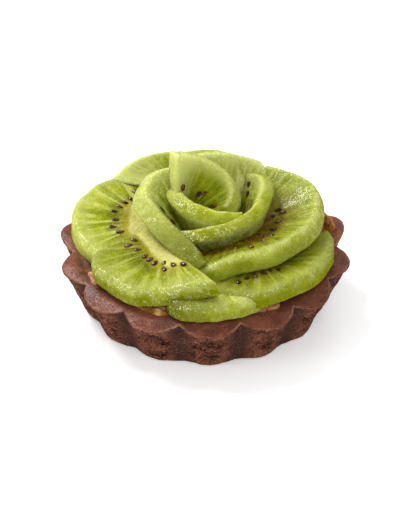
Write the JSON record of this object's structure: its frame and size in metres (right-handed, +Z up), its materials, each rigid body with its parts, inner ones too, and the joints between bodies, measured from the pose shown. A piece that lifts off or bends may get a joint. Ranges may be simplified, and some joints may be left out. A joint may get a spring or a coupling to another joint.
{
  "type": "fruit tart",
  "caption": "Single-serving fluted chocolate tart shell filled with baked cream and topped with a rose of overlapping kiwi half-slices.",
  "frame": {"origin": "middle of the flat underside of the shell, which is also the bottom centre of the bounding box", "axes": "+Z up; -Y is the front of the rose, where its lowest front slice hangs over the rim; +X is to the right seen from the front"},
  "size_m": [0.079, 0.079, 0.0411],
  "materials": {
    "crust": "baked cocoa shortcrust, matt and porous",
    "cream": "baked cream, soft satin",
    "kiwi": "wet green kiwi flesh with dark seeds"
  },
  "bodies": {
    "root": {"shell": "crust", "filling": "cream", "kiwi_front_left": "kiwi", "kiwi_right_upper": "kiwi", "kiwi_front": "kiwi", "kiwi_right": "kiwi", "kiwi_left": "kiwi", "petal_left": "kiwi", "petal_right": "kiwi", "petal_centre": "kiwi", "petal_centre_back": "kiwi", "petal_behind": "kiwi", "petal_behind_right": "kiwi", "petal_back": "kiwi", "petal_back_left": "kiwi", "kiwi_low_back_left": "kiwi", "kiwi_low_back_right": "kiwi"}
  },
  "joints": []
}
